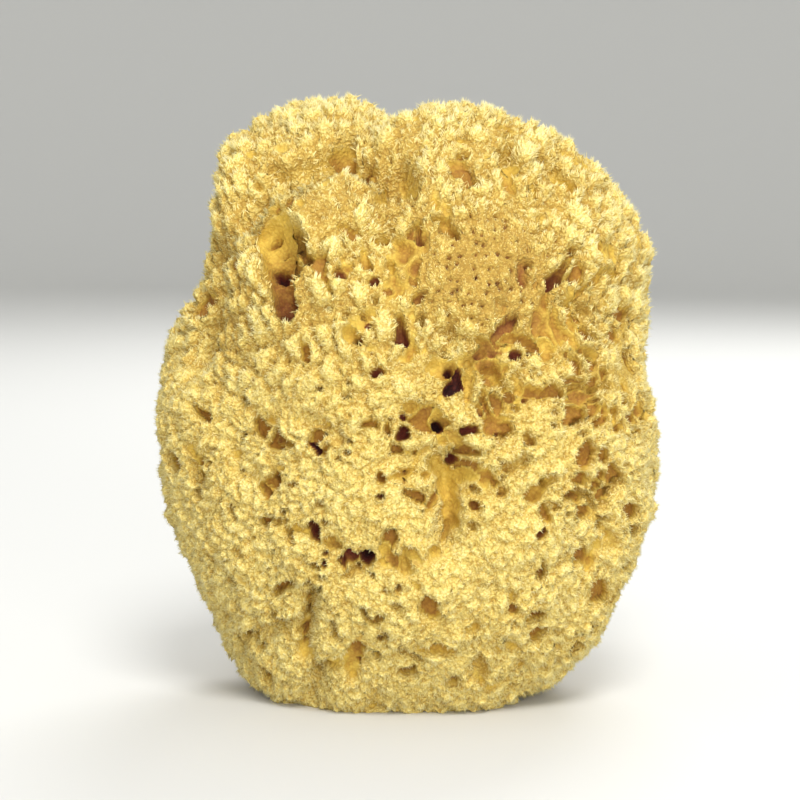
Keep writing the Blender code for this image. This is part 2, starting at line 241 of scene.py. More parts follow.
# Finer lumps of the skin, which the solid leaves out: size and rise in mm, and the seed of their pattern
LUMPS = ((6.0, 0.5, 61), (2.8, 0.3, 62), (1.4, 0.22, 63))

# The clumps that the pile is parted into. In pairs, near the foot and near the top: their size in mm, how
# deep the partings are in mm and how amber, which is painted shade down in the partings. Then the seed, how
# wide a parting is as a share of the size, how much the clumps differ in height in mm, the waves that bend the
# partings, how far the clumps near the top are drawn out upwards, and the heights in mm between which the
# one kind gives way to the other.
CLUMP_SIZE = (3.4, 4.9)
CLUMP_DEPTH = (1.1, 2.9)
CLUMP_DARK = (0.18, 0.36)
CLUMP_SEED = 121
CLUMP_PARTING = 0.42
CLUMP_STEP = 0.9
CLUMP_BEND = ((7.0, 2.2, 123), (2.4, 0.8, 126))
CLUMP_STRETCH = 1.5
CLUMP_FROM = (62.0, 108.0)

# Parts of the front that are more amber than the rest: middle and half widths in pixels, and how much
TINTS = ((492, 262, 84, 72, 0.28), (395, 175, 40, 60, 0.10), (212, 290, 24, 90, 0.10))
TINT_EDGE = (0.4, 1.2)

# The first of them is flat too: how much shallower and how much paler its partings are, as they carry less
# painted shade
FLAT_CLUMPS = 0.6
FLAT_PARTINGS = 0.5

# Where the front gives way to the sides: Y in mm
FRONT_ENDS = (-22.0, 2.0)

# How far the rims of the openings wander: size of a wave and its reach in mm, and the seed of its pattern
BASIN_WANDER = ((5.0, 1.3, 71), (2.2, 0.75, 74), (1.2, 0.3, 77))
HOLE_WANDER = ((4.2, 0.8, 71), (1.7, 0.45, 74))

# The comb: hollows lie where a bent sum of waves is high. For each wave its size in mm, its strength and
# its seed, the limits above which a hollow begins where none and where all is open, how far above the
# limit its wall and its deepest place end, the depth in mm and the darkness of a shallow and a deep one, and
# how deep the deepest are where none and where all is open. The darkness is painted shade in the hollows.
COMB_WAVES = ((7.0, 1.0, 81), (3.4, 0.6, 83), (1.7, 0.3, 85))
COMB_BEND = ((13.0, 3.4, 84), (3.6, 1.1, 87))
COMB_LIMITS = (0.62, 0.02)
COMB_WALL = 0.30
COMB_DEEPEST = 0.85
COMB_DEPTH = (1.7, 5.6)
COMB_DARK = (0.18, 0.60)
COMB_DEEP = (0.4, 1.0)

# Round canals in the comb: size of a cell and its seed, the share of open ones where all is open, over how
# much of that share one opens, the widths in mm that the crest and the wall take up, the depth in mm and the
# darkness, as painted shade down the canal
CELL_SIZE = 5.9
CELL_SEED = 88
CELL_SHARE = 0.50
CELL_EDGE = 0.02
CELL_CREST = 0.5
CELL_WALL = 1.1
CELL_DEPTH = 4.8
CELL_DARK = 0.54

# Near the top the cells are drawn out upwards by this much, over these heights in mm
COMB_STRETCH = 1.35
COMB_STRETCH_FROM = (88.0, 118.0)

# How much of the front the comb takes up: middle and half widths in pixels, and the share of open cells
COMB_AREAS = (
    (560, 400, 105, 90, 0.84),
    (610, 300, 44, 90, 0.72),
    (600, 520, 66, 90, 0.70),
    (392, 235, 50, 90, 0.62),
    (440, 430, 74, 90, 0.84),
    (320, 170, 100, 50, 0.52),
    (520, 150, 110, 44, 0.46),
    (200, 420, 50, 140, 0.26),
    (290, 420, 70, 90, 0.26),
    (360, 560, 110, 60, 0.42),
    (420, 645, 170, 60, 0.36),
    (250, 590, 70, 80, 0.28),
)
COMB_LEAST = 0.14
COMB_EDGE = (0.7, 1.35)

# The share elsewhere, least and most: size of its pattern in mm, its seed, and where the pattern goes from
# the one to the other
COMB_HIDDEN = (0.25, 0.92)
COMB_HIDDEN_SIZE = 30.0
COMB_HIDDEN_SEED = 93
COMB_HIDDEN_EDGE = (-0.25, 0.4)

# How amber the creases are at their line, as painted shade, and how much narrower that is than the crease
CREASE_DARK = 0.26
CREASE_NARROW = 1.6

# How far the front's openings are turned from the inward way to straight back, out to these places in Y, and
# how far those of the upper part run down behind their lower lip, over these heights, all in mm
STRAIGHT_BACK = 0.9
STRAIGHT_ENDS = (-30.0, -5.0)
POCKET_TILT = 0.5
POCKET_FROM = (45.0, 105.0)

# A vertex REACH half widths from an opening's line stays put. From RIM_AT of that inwards comes the bowl,
# whose walls are the steeper the lower BOWL is. The pile ends between the two places of OPEN_EDGE, and the
# floor darkens with the bowl's depth over DARK_EDGE, as painted shade.
REACH = 1.5
RIM_AT = 0.74
OPEN_EDGE = (0.5, 0.8)
BOWL = 0.7
DARK_EDGE = (-0.1, 0.85)

# Openings this deep, in mm, and either this dark or very deep begin to lose their pile, and have lost it,
# and so do the comb's hollows this deep
BARE_FROM = (2.2, 4.2)
BARE_DARK = (0.20, 0.34)
BARE_DEEP = (7.0, 9.5)
BARE_HOLLOW = (1.7, 3.2)

# How much deeper every opening is than its own depth, in mm, as the skin beside it lies deeper too
OPENING_BELOW = 1.0

# A place in the photograph is looked up this far down an opening, of what can be seen of it, which is never
# more than SEEN_DEEP half widths
LOOK_AT = 0.8
SEEN_DEEP = 1.5

# Valleys run between the crests of the comb: size of the pattern in mm and its seed, how wide a valley is in
# it, the depth in mm and the darkness, as painted shade in the valley. They come in as the share of open cells
# rises, and break off where a second pattern (its size in mm and its seed) is low.
VALLEY_SIZE = 8.5
VALLEY_SEED = 103
VALLEY_WIDTH = (0.03, 0.24)
VALLEY_DEPTH = 2.4
VALLEY_DARK = 0.34
VALLEY_SHARE = (0.2, 0.7)
VALLEY_BREAK = (12.0, 105)
VALLEY_ENDS = (-0.35, 0.1)

# The fibres: how many there are in each front and each back quarter, how much wider those of the back are,
# their seed, how many roots are drawn for each one kept, how closed the skin is where the first and where all
# of them stand, and the height in mm up to which the skin is the foot, which has none
FIBRES = (48000, 27000)
BACK_WIDER = 1.35
FIBRE_SEED = 7
SPARE = 1.7
CLOSED_FROM = (0.45, 0.9)
FOOT_BELOW = 0.01

# In pairs, near the foot and near the top: their length, the size of a tuft and how far they are drawn to its
# middle, in mm, and how much their ways differ. Then the seed of the tufts, how far their two sizes mix, and
# the heights in mm over which the first gives way to the second, for the lengths and for the rest.
FIBRE_LENGTH = (1.3, 1.65)
TUFT_SIZE = (1.3, 2.2)
TUFT_DRAW = (0.4, 0.75)
JITTER = (0.46, 0.22)
TUFT_SEED = 43
TUFT_MIX = 0.25
LENGTH_FROM = (40.0, 120.0)
TOP_FROM = (55.0, 120.0)

# How far they lean up near the top and down at the foot, and over which heights in mm
UPWARD = 0.85
UPWARD_FROM = (70.0, 125.0)
DOWNWARD = 0.45
DOWNWARD_FROM = (4.0, 26.0)

# Their least and most half width in mm, how much wider they are near the top, how far a root lies below the
# skin and the least height of any point in mm, and the number of sides
FIBRE_HALF_WIDTH = (0.08, 0.14)
TOP_WIDER = 0.25
ROOT_BELOW = 0.3
LEAST_HEIGHT = 0.02
SIDES = 3

# The faces of a fibre, whose tip is its last point, and the places of their corners on the sheet: one way from
# root, 0, to tip, 1, and the other way how far beside the fibre's tone
FIBRE_FACES = ((0, 1, 3), (1, 2, 3), (2, 0, 3), (2, 1, 0))
FIBRE_ALONG = ((0, 0, 1), (0, 0, 1), (0, 0, 1), (0, 0.02, 0))
FIBRE_ACROSS = (0, 0.02, 0.01)

# Shares of the length: how much less between two tufts, that of the lowest and the highest tuft, and the
# least and most of a fibre. How much shorter the fibres are in a dark place, in full from this darkness on,
# and in the flat patch.
SHORT_BETWEEN = 0.45
TUFT_HEIGHT = (0.75, 1.25)
LENGTH_SPREAD = (0.8, 1.15)
SHORT_IN_DARK = 0.55
SHORT_FROM = 0.5
SHORT_IN_TINT = 0.5

# How far the fibres follow the skin's own slopes, against the form's
SLOPE_LEAN = 0.8

# A fibre's tone runs from 0, amber, to 1, pale: the tone in the middle of a tuft, how much tufts and single
# fibres differ, how much lower it is between two tufts and in a dark place, which is painted shade, and its
# ends. Then how far fibres are shaded as the skin.
TONE = 0.55
TUFT_TONES = 0.40
TONE_SPREAD = 0.1
TUFT_SHADE = 0.34
FIBRE_PAINTED_SHADE = 1.15
TONE_ENDS = (0.02, 0.97)
SOFT_SHADING = 1.0

# The small pores: their spacing in mm, on the front with how far each keeps to the middle of its square, and
# up to which Y; then their seed, half width and depth in mm, over which share of the half width they begin,
# how dark they are, as painted shade in the pore, and how strong they are outside the tinted parts
PORE_SIZE = 2.3
FRONT_PORE_SIZE = 3.0
FRONT_PORE_SPREAD = 0.75
FRONT_PORE_Y = -20.0
PORE_SEED = 41
PORE_HALF_WIDTH = 0.48
PORE_DEPTH = 1.6
PORE_EDGE = (0.6, 1.4)
PORE_DARK = 0.46
PORE_ELSEWHERE = 0.5

# How far fibres lean away from a pore, at its rim and up to this many half widths from its middle
PORE_LEAN = 0.5
PORE_LEAN_TO = 2.2

# The skin's patterns, counted a metre: a broad mottle, fine felt, and grains, whose edges wander in waves of
# a scale of their own, this far in metres
MOTTLE_SCALE = 260.0
FELT_SCALE = 2200.0
NOISE_DETAIL = 3.0
GRAIN_SCALE = 1150.0
WANDER_SCALE = 900.0
GRAIN_BEND = 0.0009

# How strongly they show in the openings, and between them. The grains are paler in their middles and darker
# at their edges, which is painted shade between them; the mottle and the felt differ at random
MOTTLE_IN = 0.16
GRAIN_IN = 0.12
MOTTLE_OUT = 0.4
GRAIN_OUT = 0.5
FELT_OUT = 0.6

# The skin's relief: its depth in metres and its strength, how much the felt adds to the grain, and how much
# less of it is left in the openings
BUMP_DEPTH = 0.0008
BUMP_STRENGTH = 0.8
FELT_RISE = 0.5
FLATTER_IN = 0.6

SKIN_ROUGHNESS = 0.85
FIBRE_ROUGHNESS = 0.8
FLOOR_ROUGHNESS = 0.9

# Colours, as red, green and blue of a screen
PALE = (0.95, 0.88, 0.57)
AMBER = (0.81, 0.685, 0.28)
OLIVE = (0.65, 0.49, 0.17)
BROWN = (0.49, 0.29, 0.10)
DARK_RED = (0.40, 0.14, 0.065)
NEAR_BLACK = (0.20, 0.055, 0.045)
GAP = (0.66, 0.52, 0.21)
ROOT_PALE = (0.95, 0.885, 0.59)
ROOT_DEEP = (0.87, 0.775, 0.43)
ROOT_AMBER = (0.735, 0.60, 0.265)
TIP_PALE = (1.00, 0.985, 0.81)
TIP_WARM = (0.98, 0.93, 0.665)
TIP_AMBER = (0.875, 0.78, 0.45)
FLOOR = (0.84, 0.84, 0.83)

# The skin's colours in its openings, by darkness, which is painted shade, and between them, by tone, which
# painted shade lowers, then a fibre's at root and tip, the root deeper as painted shade down in the pile
OPENING_STOPS = (
    (0.0, PALE), (0.3, AMBER), (0.48, OLIVE), (0.66, BROWN), (0.84, DARK_RED), (1.0, NEAR_BLACK),
)
FELT_STOPS = ((0.0, GAP), (0.25, ROOT_AMBER), (0.5, ROOT_DEEP), (0.75, ROOT_PALE), (0.95, TIP_WARM))
ROOT_STOPS = ((0.0, ROOT_AMBER), (0.45, ROOT_DEEP), (1.0, ROOT_PALE))
TIP_STOPS = ((0.0, TIP_AMBER), (0.45, TIP_WARM), (1.0, TIP_PALE))

# The floor, in mm, out to the wall that it curves up into
FLOOR_RADIUS = 1900.0
FLOOR_BEND = 700.0
FLOOR_WALL = 500.0
FLOOR_STEPS = 24
FLOOR_SIDES = 96

# The lights: name, place and aim in metres, size in metres and power. Then the world's colour and strength.
LIGHTS = (
    ("key", (0.15, -0.85, 1.15), (0, 0, 0.09), 0.5, 13.2),
    ("fill", (0.2, -1.2, 0.2), (0, 0, 0.05), 0.9, 12.0),
    ("back", (0.3, 1.0, 0.9), (0, 0, 0.09), 0.8, 10.0),
)
WORLD = ((0.95, 0.95, 0.94), 0.72)

# Each side of the cube keeps this far from the edge of its place on the sheet. The fans that shut the halves
# inside the sponge share one corner of the sheet.
SHEET_MARGIN = 0.02
FAN_SHEET = ((0.985, 0.99), (0.99, 0.985), (0.995, 0.995))

TABLE_SIZE = 64


def rough(points, size, seed):
    """Smooth random values from -1 to 1: seeded numbers on a lattice of `size` mm, blended by smoothstep."""
    lattice = np.random.default_rng(seed).uniform(-1, 1, (LATTICE,) * 3)
    cell = points / size
    low = np.floor(cell).astype(int)
    part = cell - low
    part = part * part * (3 - 2 * part)
    total = np.zeros(len(points))
    for corner in np.ndindex(2, 2, 2):
        index = (low + np.array(corner)) % LATTICE
        weight = np.prod(np.where(np.array(corner) == 1, part, 1 - part), axis=1)
        total += weight * lattice[index[:, 0], index[:, 1], index[:, 2]]
    return total


def scattered(points, size, seed, counts=(1, 1, 1), spread=1.0):
    """One random point in each cube of `size` mm, anywhere in the middle `spread` of it: the distances to
    the nearest and the second one, the way to the nearest, and a number from 0 to 1 that belongs to it. An
    axis whose count is 0 is left out, so that there is one column along it in each square."""
    table = np.random.default_rng(seed).random((TABLE_SIZE,) * 3 + (4,))
    points = points * counts
    home = np.floor(points / size).astype(int)
    nearest = np.full(len(points), np.inf)
    second = np.full(len(points), np.inf)
    way = np.zeros((len(points), 3))
    number = np.zeros(len(points))
    for corner in np.ndindex(3, 3, 3):
        cube = home + np.array(corner) - 1
        drawn = table[tuple((cube * counts % TABLE_SIZE).T)]
        spot = cube + 0.5 + (drawn[:, :3] - 0.5) * spread
        offset = (spot * size - points) * counts
        distance = np.linalg.norm(offset, axis=1)
        closer = distance < nearest
        second = np.where(closer, nearest, np.minimum(second, distance))
        nearest = np.where(closer, distance, nearest)
        way = np.where(closer[:, None], offset, way)
        number = np.where(closer, drawn[:, 3], number)
    return nearest, second, way, number


def pores(points):
    """The distance and the way to the nearest small pore. On the front the pores run in along Y, so that
    none is missed, and elsewhere they are scattered in space."""
    front = points[:, 1] < FRONT_PORE_Y
    nearest = np.empty(len(points))
    way = np.empty((len(points), 3))
    nearest[~front], _, way[~front], _ = scattered(points[~front], PORE_SIZE, PORE_SEED)
    columns = scattered(points[front], FRONT_PORE_SIZE, PORE_SEED, (1, 0, 1), FRONT_PORE_SPREAD)
    nearest[front], _, way[front], _ = columns
    return nearest, way


def bent(points, waves):
    """The points, shifted smoothly by waves of (size in mm, reach in mm, seed)."""
    return points + sum(
        np.stack([rough(points, size, seed + k) * reach for k in range(3)], axis=1)
        for size, reach, seed in waves
    )


def smooth(value, low, high):
    """0 up to `low`, 1 from `high`, and 3t^2 - 2t^3 between them."""
    share = np.clip((value - low) / (high - low), 0, 1)
    return share * share * (3 - 2 * share)


def between(pair, share):
    """From the first of a pair, at share 0, to the second, at 1."""
    return pair[0] + (pair[1] - pair[0]) * share


def unit(vectors):
    return vectors / np.maximum(np.linalg.norm(vectors, axis=1, keepdims=True), 1e-9)


def outline_radius(angle, blur):
    """Distance from the middle to the outline at each angle, evened over `blur` degrees."""
    x = (np.array([p[0] for p in OUTLINE]) - PHOTO_MIDDLE[0]) * PIXEL
    z = (PHOTO_MIDDLE[1] - np.array([p[1] for p in OUTLINE])) * PIXEL
    samples = np.radians(np.arange(0, 360, ANGLE_STEP))
    radius = np.interp(samples, np.arctan2(z, x), np.hypot(x, z), period=2 * math.pi)
    steps = round(BLUR_REACH / ANGLE_STEP)
    reach = np.arange(-steps, steps + 1) * ANGLE_STEP
    kernel = np.exp(-0.5 * (reach / blur) ** 2)
    padded = np.concatenate([radius[-steps:], radius, radius[:steps]])
    even = np.convolve(padded, kernel / kernel.sum(), mode="valid")
    return np.interp(angle, samples, even, period=2 * math.pi)


def plain_form(directions):
    """The form before lobes and canals: for a direction, the outline's radius times a superellipse across
    it, and the front or back depth times the same superellipse along Y."""
    across = np.hypot(directions[:, 0], directions[:, 2])
    along = np.abs(directions[:, 1])
    angle = np.arctan2(directions[:, 2], directions[:, 0]) + TWIST * directions[:, 1]
    fill = (across**FULLNESS + along**FULLNESS) ** (-1 / FULLNESS)
    rim = (fill * across) ** RIM_POWER
    radius = rim * outline_radius(angle, RIM_BLUR) + (1 - rim) * outline_radius(angle, FACE_BLUR)
    depth = np.where(directions[:, 1] < 0, FRONT_DEPTH, BACK_DEPTH)
    return np.stack(
        [
            radius * fill * directions[:, 0],
            depth * fill * directions[:, 1],
            MIDDLE_HEIGHT + radius * fill * directions[:, 2],
        ],
        axis=1,
    )


def direction_of(azimuth, elevation):
    """The unit direction at an azimuth from the front towards +X and an elevation, in degrees."""
    turn, climb = math.radians(azimuth), math.radians(elevation)
    level = math.cos(climb)
    return np.array([[math.sin(turn) * level, -math.cos(turn) * level, math.sin(climb)]])


def inward(points):
    """Unit directions from each point of the form towards the core."""
    core = points * (CORE_WIDTH, 0, CORE_HEIGHT) + (0, 0, MIDDLE_HEIGHT * (1 - CORE_HEIGHT))
    return unit(core - points)


def pixels_of(points):
    """Where the photograph shows each point, in pixels."""
    seen = points - (0, 0, MIDDLE_HEIGHT)
    away = EYE_DISTANCE + seen[:, 1] * math.cos(EYE_RISE) - seen[:, 2] * math.sin(EYE_RISE)
    up = seen[:, 1] * math.sin(EYE_RISE) + seen[:, 2] * math.cos(EYE_RISE)
    scale = EYE_DISTANCE / away / PIXEL
    return np.stack([PHOTO_MIDDLE[0] + seen[:, 0] * scale, PHOTO_MIDDLE[1] - up * scale], axis=1)


def on_front(points, surface, line):
    """The points of the plain form whose places on a surface lie on the front under the pixels of a line."""
    front = points[:, 1] < 0
    shown = pixels_of(surface[front])
    return [points[front][np.argmin(np.hypot(*(shown - pixel).T))] for pixel in np.array(line, float)]


def along_line(points, line):
    """For each point, the nearest place on a polyline in space, and how far along the line it is, 0 to 1."""
    nearest = np.full(len(points), np.inf)
    place = np.zeros((len(points), 3))
    share = np.zeros(len(points))
    lengths = [np.linalg.norm(end - start) for start, end in zip(line, line[1:])]
    gone = 0.0
    for start, end, length in zip(line, line[1:], lengths):
        run = end - start
        part = np.clip((points - start) @ run / max(run @ run, 1e-9), 0, 1)
        spot = start + part[:, None] * run
        distance = np.linalg.norm(points - spot, axis=1)
        closer = distance < nearest
        nearest = np.where(closer, distance, nearest)
        place = np.where(closer[:, None], spot, place)
        share = np.where(closer, (gone + part * length) / max(sum(lengths), 1e-9), share)
        gone += length
    return nearest, place, share


def solid_form(directions):
    """The solid's surface without its canals: the plain form with lobes, bumps and creases."""
    points = plain_form(directions)
    height = sum(rough(points, size, seed) * rise for size, rise, seed in BUMPS)
    for x, y, half_width, rise in FRONT_LOBES:
        middle = on_front(points, points, [(x, y)])[0]
        height += rise * np.exp(-((np.linalg.norm(points - middle, axis=1) / half_width) ** 2))
    for azimuth, elevation, half_width, rise in OTHER_LOBES:
        middle = plain_form(direction_of(azimuth, elevation))
        height += rise * np.exp(-((np.linalg.norm(points - middle, axis=1) / half_width) ** 2))
    for line, half_width, sink in FRONT_CREASES:
        distance = along_line(points, on_front(points, points, line))[0]
        height -= sink * np.exp(-((distance / half_width) ** 2))
    return points, points - inward(points) * height[:, None]


def sphere_places():
    """The corners of the sphere that the part starts from, on the plain form."""
    shape = bmesh.new()
    bmesh.ops.create_icosphere(shape, subdivisions=SPHERE_SUBDIVISIONS, radius=1.0)
    mesh = bpy.data.meshes.new("sphere")
    shape.to_mesh(mesh)
    shape.free()
    places = np.empty(len(mesh.vertices) * 3, np.float32)
    mesh.vertices.foreach_get("co", places)
    bpy.data.meshes.remove(mesh)
    return plain_form(unit(places.reshape(-1, 3).astype(float)))


def seeded_canals(points, others, kind):
    """Round canals away from the front and the foot, drawn as the part draws its own, and spaced from each
    other and from the others: (middle, half width, depth)."""
    count, seed, spacing, half_widths, depths = kind
    chance = np.random.default_rng(seed)
    taken = [middle for middle, _, _ in others]
    chosen = []
    for index in chance.permutation(len(points)):
        middle = points[index]
        if middle[1] < SEEDED_FROM_Y or middle[2] < SEEDED_FROM_Z:
            continue
        if not taken or np.linalg.norm(np.array(taken) - middle, axis=1).min() > spacing:
            taken.append(middle)
            chosen.append((middle, chance.uniform(*half_widths), chance.uniform(*depths)))
        if len(chosen) == count:
            break
    return chosen


def pocket_axis(points):
    """The way that hollows run in: inward, straight back on the front, and downwards in the upper part."""
    back = STRAIGHT_BACK * (1 - smooth(points[:, 1], *STRAIGHT_ENDS))
    under = POCKET_TILT * smooth(points[:, 2], *POCKET_FROM)
    return unit(inward(points) + np.stack([np.zeros(len(points)), back, -under], axis=1))


def sink(points, openings, waves):
    """Sinks openings into the form. Each is (line, half widths at its ends, depth, darkness at its ends).
    A point's t is its distance from the nearest opening's line over REACH half widths. Inside the rim, t
    from 0 to RIM_AT is an angle from 0 to 90 degrees: the depth goes by its cosine, to the power BOWL, and
    the distance from the line by its sine. Gives the way each point moves, how dark it is, as painted shade
    that deepens down the bowl, and how open it is there, 0 on the skin to 1 inside. A shallow or pale opening
    keeps its pile, so it is less open."""
    best = np.full(len(points), np.inf)
    moved = np.zeros((len(points), 3))
    dark = np.zeros(len(points))
    steep = np.zeros(len(points))
    axis = pocket_axis(points)
    wandered = bent(points, waves)
    edge = 1 / REACH
    for line, half_widths, depth, darkness in openings:
        middle = sum(line) / len(line)
        extent = max(np.linalg.norm(spot - middle) for spot in line) + max(half_widths) * REACH
        near = np.flatnonzero(np.abs(wandered - middle).max(axis=1) < extent)
        distance, place, share = along_line(wandered[near], line)
        half_width = between(half_widths, share)
        t = distance / (half_width * REACH)
        ours = (t < 1) & (t < best[near])
        near, place, share, half_width, t = near[ours], place[ours], share[ours], half_width[ours], t[ours]
        best[near] = t
        angle = np.minimum(t / RIM_AT, 1) * math.pi / 2
        down = np.maximum(np.cos(angle), 0) ** BOWL
        radial = np.where(t < RIM_AT, np.sin(angle) * edge, np.interp(t, [RIM_AT, 1], [edge, 1]))
        outward = unit(wandered[near] - place) * ((radial - t) * half_width * REACH)[:, None]
        moved[near] = outward + axis[near] * (down * (depth + OPENING_BELOW))[:, None]
        tone = between(darkness, share)
        # Painted shade: the floor's colour darkens the deeper the bowl goes.
        dark[near] = tone * smooth(down, *DARK_EDGE)
        bared = np.maximum(smooth(tone, *BARE_DARK), smooth(depth, *BARE_DEEP))
        steep[near] = smooth(depth, *BARE_FROM) * bared
    return moved, dark, (1 - smooth(best, *OPEN_EDGE)) * steep


def cube_grid():
    """A closed cube of CELLS x CELLS squares a side, as whole-number corners: places from -1 to 1, the
    corners of each square in order from outside, and its place on a flat sheet of 3 x 2 sides."""
    steps = np.arange(CELLS + 1)
    a, b = np.meshgrid(steps, steps, indexing="ij")
    flat = np.stack([a.ravel(), b.ravel()], axis=1)
    low, high = np.zeros(len(flat), int), np.full(len(flat), CELLS)
    u, v = flat[:, 0], flat[:, 1]
    sides = [
        np.stack([u, low, v], axis=1),
        np.stack([v, high, u], axis=1),
        np.stack([high, u, v], axis=1),
        np.stack([low, v, u], axis=1),
        np.stack([u, v, high], axis=1),
        np.stack([v, u, low], axis=1),
    ]
    corner = np.stack([a[:-1, :-1], a[1:, :-1], a[1:, 1:], a[:-1, 1:]], axis=-1) * (CELLS + 1)
    corner = corner + np.stack([b[:-1, :-1], b[1:, :-1], b[1:, 1:], b[:-1, 1:]], axis=-1)
    corner = corner.reshape(-1, 4)
    every = np.concatenate(sides)
    code = (every[:, 0] * (CELLS + 1) + every[:, 1]) * (CELLS + 1) + every[:, 2]
    _, first, same = np.unique(code, return_index=True, return_inverse=True)
    squares = np.concatenate([same[corner + k * len(flat)] for k in range(6)])
    sheet = flat[corner] / CELLS * (1 - 2 * SHEET_MARGIN) + SHEET_MARGIN
    sheet = np.concatenate([(sheet + (k % 3, k // 3)) / (3, 2) for k in range(6)])
    return every[first] / CELLS * 2 - 1, squares, sheet


def sphere_directions(cube):
    """Directions of the grid: the cube evened by tan, made round, and seen from a point behind the middle,
    which draws more of them to the front."""
    even = unit(np.tan(cube * math.pi / 4))
    return unit(even - (0, FRONT_BIAS, 0))


def normals_of(points, squares):
    """Unit normals at the corners of a grid: the sum of its squares' normals."""
    a, b, c, d = (points[squares[:, k]] for k in range(4))
    across = np.cross(c - a, d - b)
    total = np.stack(
        [
            sum(np.bincount(squares[:, k], across[:, axis], len(points)) for k in range(4))
            for axis in range(3)
        ],
        axis=1,
    )
    return unit(total)


def make_mesh(name, points, faces, corner_uv, normals=None):
    """A mesh from whole arrays: points in mm, and faces as arrays of quads and triangles. Where normals are
    given, the surface is smooth and takes them at its points."""
    mesh = bpy.data.meshes.new(name)
    corners = np.concatenate([part.ravel() for part in faces])
    sides = np.concatenate([np.full(len(part), part.shape[1]) for part in faces])
    mesh.vertices.add(len(points))
    mesh.vertices.foreach_set("co", (points * MM).astype(np.float32).ravel())
    mesh.loops.add(len(corners))
    mesh.loops.foreach_set("vertex_index", corners.astype(np.int32))
    mesh.polygons.add(len(sides))
    mesh.polygons.foreach_set("loop_start", (np.cumsum(sides) - sides).astype(np.int32))
    mesh.uv_layers.new(name="OFBake").data.foreach_set("uv", corner_uv.astype(np.float32).ravel())
    mesh.update(calc_edges=True)
    mesh.polygons.foreach_set("use_smooth", np.full(len(sides), normals is not None))
    if normals is not None:
        mesh.normals_split_custom_set_from_vertices(normals.astype(np.float32))
    thing = bpy.data.objects.new(name, mesh)
    bpy.context.collection.objects.link(thing)
    return thing


def half_skin(name, front, cube, squares, sheet, skin, normals):
    """One closed half of the skin. The halves meet in the ring of grid corners at the cube's middle plane,
    with the same points and normals, and each is shut by a fan inside the sponge."""
    side = -1 if front else 1
    half = cube[squares][:, :, 1].mean(axis=1) * side > 0
    ours = squares[half]
    uv = sheet[half].reshape(-1, 2)
    ring = np.flatnonzero(np.abs(cube[:, 1]) < 1e-9)
    ring = ring[np.argsort(np.arctan2(cube[ring, 2], cube[ring, 0]))]
    following = np.roll(ring, -1)
    hub = np.full(len(ring), len(skin))
    fan = np.stack([ring, following, hub] if not front else [following, ring, hub], axis=1)
    points = np.concatenate([skin, skin[ring].mean(axis=0, keepdims=True)])
    pointing = np.concatenate([normals, [[0.0, -side, 0.0]]])
    kept, number = np.unique(np.concatenate([ours.ravel(), fan.ravel()]), return_inverse=True)
    quads = number[: ours.size].reshape(-1, 4)
    fan = number[ours.size :].reshape(-1, 3)
    fan_uv = np.tile(FAN_SHEET, (len(fan), 1))
    return make_mesh(name, points[kept], [quads, fan], np.concatenate([uv, fan_uv]), pointing[kept]), kept


def add_attribute(thing, name, values):
    attribute = thing.data.attributes.new(name, "FLOAT", "POINT")
    attribute.data.foreach_set("value", values.astype(np.float32))


def strongest(points, areas, edge, least):
    """The amount of the strongest of the front's areas at each point. Each falls off over `edge`."""
    shown = pixels_of(points)
    most = np.full(len(points), least)
    for x, y, wide, high, amount in areas:
        r = np.hypot((shown[:, 0] - x) / wide, (shown[:, 1] - y) / high)
        most = np.maximum(most, amount * (1 - smooth(r, *edge)))
    return most


def open_share(points):
    """The share of open cells of the comb: on the front the strongest of COMB_AREAS, and elsewhere a broad
    random pattern. The two change over at the sides."""
    share = strongest(points, COMB_AREAS, COMB_EDGE, COMB_LEAST)
    pattern = rough(points, COMB_HIDDEN_SIZE, COMB_HIDDEN_SEED)
    elsewhere = between(COMB_HIDDEN, smooth(pattern, *COMB_HIDDEN_EDGE))
    front = 1 - smooth(points[:, 1], *FRONT_ENDS)
    return share * front + elsewhere * (1 - front)


def clumps(points):
    """Clumps with partings between them: a parting lies where the nearest and the second of the scattered
    points are equally near. Gives how deep the skin lies for it in mm, and how amber it is, which is painted
    shade down in the parting."""
    turned = bent(points, CLUMP_BEND)
    top = smooth(points[:, 2], *CLUMP_FROM)
    depth = np.zeros(len(points))
    dark = np.zeros(len(points))
    for kind, (weight, stretch) in enumerate(((1 - top, 1.0), (top, CLUMP_STRETCH))):
        size = CLUMP_SIZE[kind]
        nearest, second, _, number = scattered(turned / (1, 1, stretch), size, CLUMP_SEED + kind)
        parting = 1 - smooth(second - nearest, 0.0, CLUMP_PARTING * size)
        depth += weight * (parting * CLUMP_DEPTH[kind] + (number - 0.5) * CLUMP_STEP)
        # Painted shade darkens the partings between the clumps.
        dark += weight * parting * CLUMP_DARK[kind]
    return depth, dark


def tint(points):
    """How much more amber each point is, from the strongest of TINTS."""
    return strongest(points, TINTS, TINT_EDGE, 0.0) * (1 - smooth(points[:, 1], *FRONT_ENDS))


